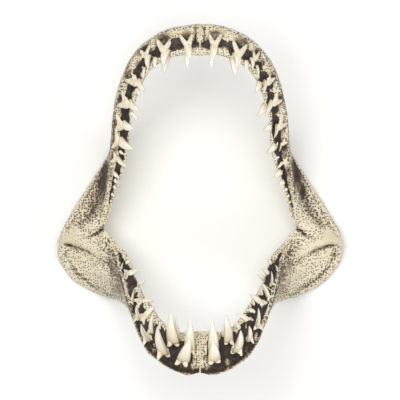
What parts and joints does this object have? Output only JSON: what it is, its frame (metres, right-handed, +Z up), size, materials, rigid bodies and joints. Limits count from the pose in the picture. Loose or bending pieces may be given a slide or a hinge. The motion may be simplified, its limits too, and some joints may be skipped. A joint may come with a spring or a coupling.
{
  "type": "dried shortfin mako shark jaw",
  "caption": "Open jaws of a mako shark with slender curved teeth, dried, lying on the rear edges of their blades with the mouth facing up.",
  "frame": {"origin": "on the floor, under the middle of the outline", "axes": "+Y from the jaw joints to the front of the upper jaw, +X to the animal's left, +Z up, out of the mouth"},
  "size_m": [0.3142, 0.3723, 0.2096],
  "materials": {
    "cartilage": "dried calcified cartilage, matt, cream",
    "tooth_crown": "polished ivory enameloid",
    "tooth_root": "porous, matt, tan",
    "dried_gum": "dried gum membrane, brown, satin"
  },
  "bodies": {
    "root": {"upper_jaw_left": "cartilage", "upper_jaw_right": "cartilage", "lower_jaw_left": "cartilage", "lower_jaw_right": "cartilage"}
  },
  "joints": []
}
